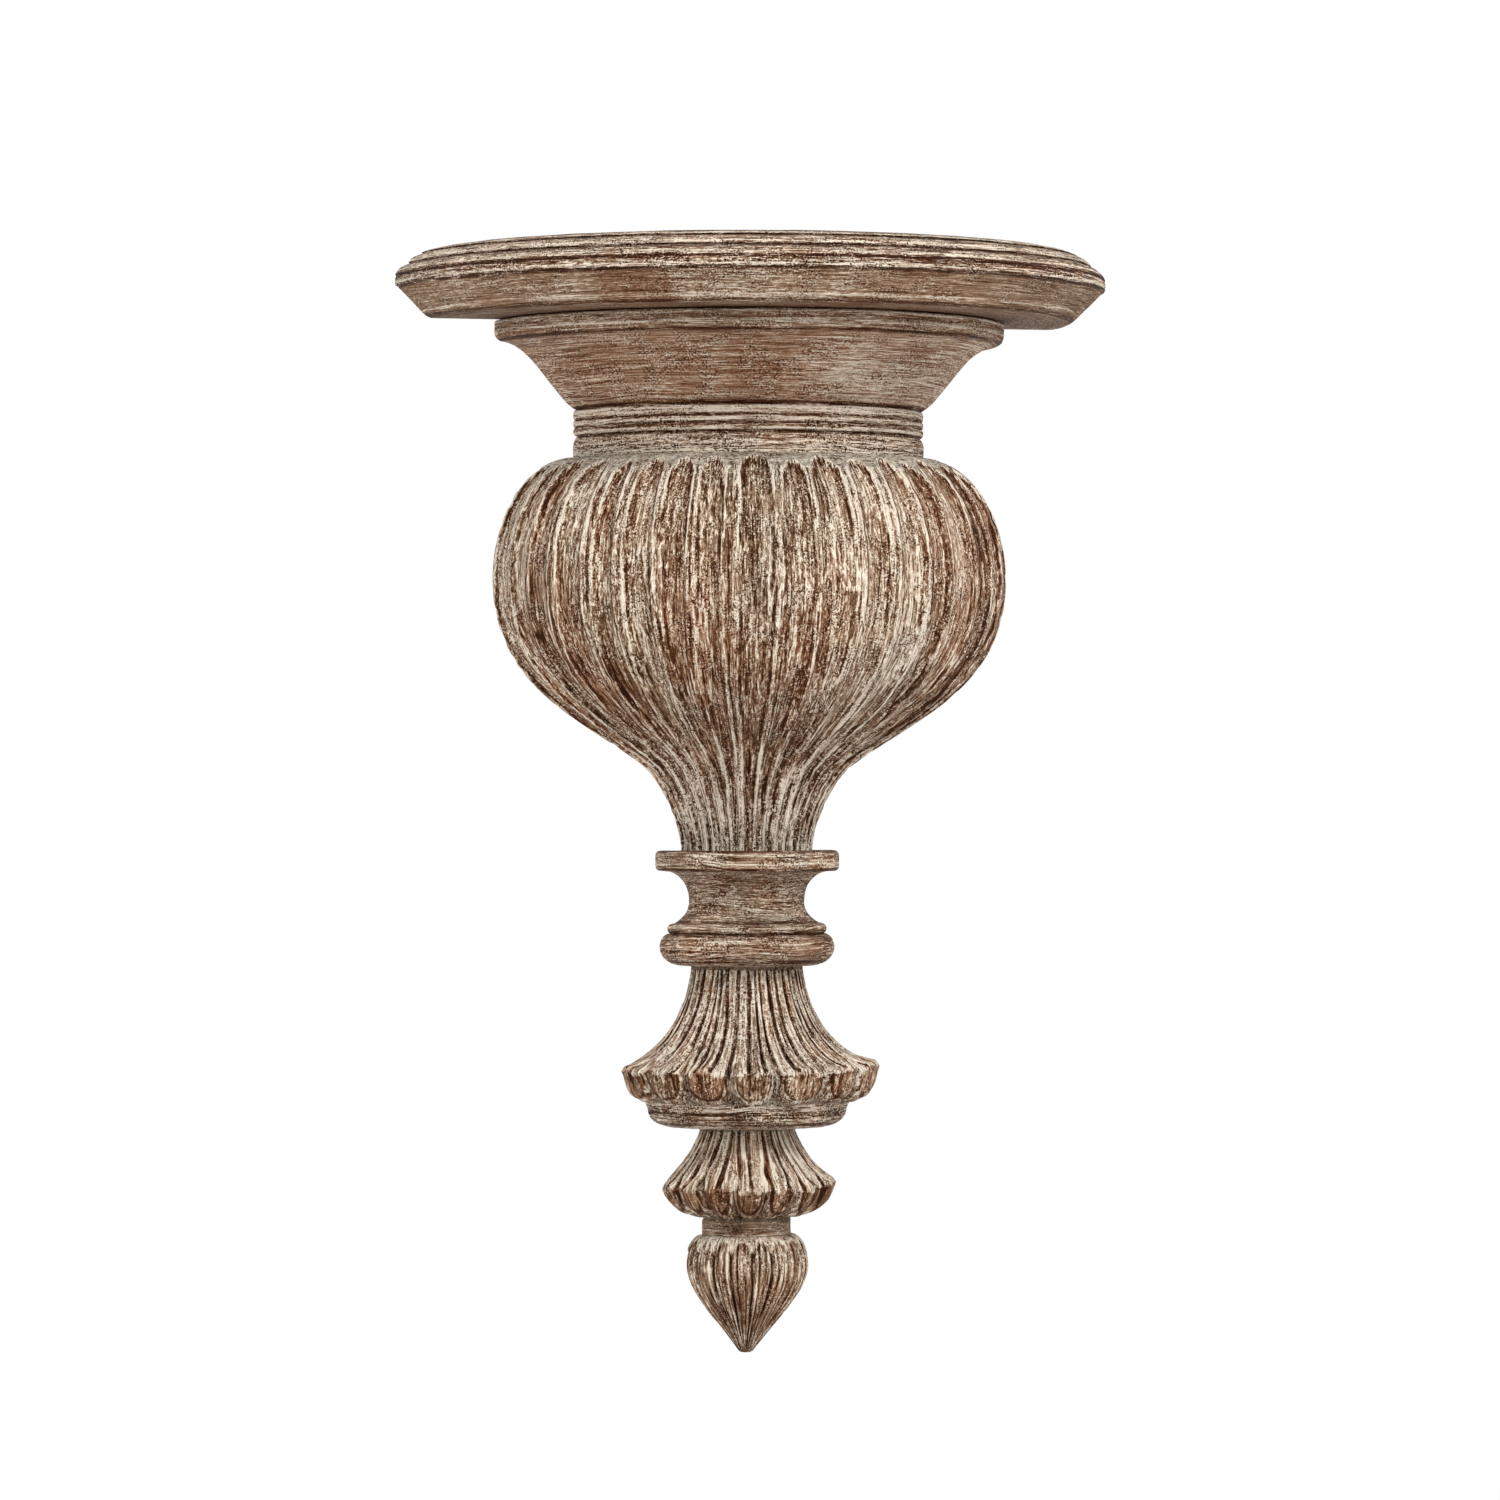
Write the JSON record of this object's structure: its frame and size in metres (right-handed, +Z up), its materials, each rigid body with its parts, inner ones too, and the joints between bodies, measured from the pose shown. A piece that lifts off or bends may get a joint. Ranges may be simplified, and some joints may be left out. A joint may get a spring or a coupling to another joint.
{
  "type": "wood wall corbel",
  "caption": "Half-round wooden wall corbel: a moulded shelf board on a turned pendant with a fluted bulb, lobed bells and a ribbed bud, flat at the back.",
  "frame": {"origin": "on the flat back, on the centre line, halfway up the neck between the cove and the fluted bulb", "axes": "+Z up, +Y out of the flat back towards the wall, +X along the wall, to the right for someone facing the corbel"},
  "size_m": [0.45, 0.225, 0.687],
  "materials": {
    "shelf_wood": "brown stain rubbed with a pale lime wash, matt, streaked around the turning",
    "carved_wood": "brown stain with pale lime wash left in the carving, matt, dark in the grooves"
  },
  "bodies": {
    "root": {"shelf_board": "shelf_wood", "carved_body": "carved_wood"}
  },
  "joints": []
}
